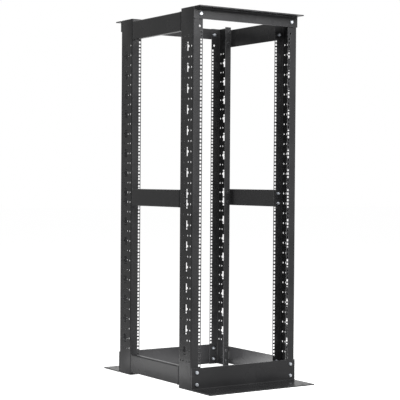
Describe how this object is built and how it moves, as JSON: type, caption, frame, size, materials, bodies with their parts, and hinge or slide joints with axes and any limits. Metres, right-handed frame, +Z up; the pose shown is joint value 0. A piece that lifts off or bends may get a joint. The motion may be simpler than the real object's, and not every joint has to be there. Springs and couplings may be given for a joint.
{
  "type": "four post open frame rack",
  "caption": "Tall open frame equipment rack with channel posts, angles across its base and top, and side braces.",
  "frame": {"origin": "on the floor, at the middle of the footprint", "axes": "+X to the right of somebody who faces the front, +Y from the front to the back, +Z up"},
  "size_m": [0.547, 0.898, 1.6192],
  "materials": {
    "frame_steel": "satin"
  },
  "bodies": {
    "root": {"front_left_post": "frame_steel", "front_right_post": "frame_steel", "rear_left_post": "frame_steel", "rear_right_post": "frame_steel", "front_top_angle": "frame_steel", "rear_top_angle": "frame_steel", "front_base_angle": "frame_steel", "rear_base_angle": "frame_steel", "left_bottom_brace": "frame_steel", "right_bottom_brace": "frame_steel", "left_middle_brace": "frame_steel", "right_middle_brace": "frame_steel", "left_top_brace": "frame_steel", "right_top_brace": "frame_steel"}
  },
  "joints": []
}
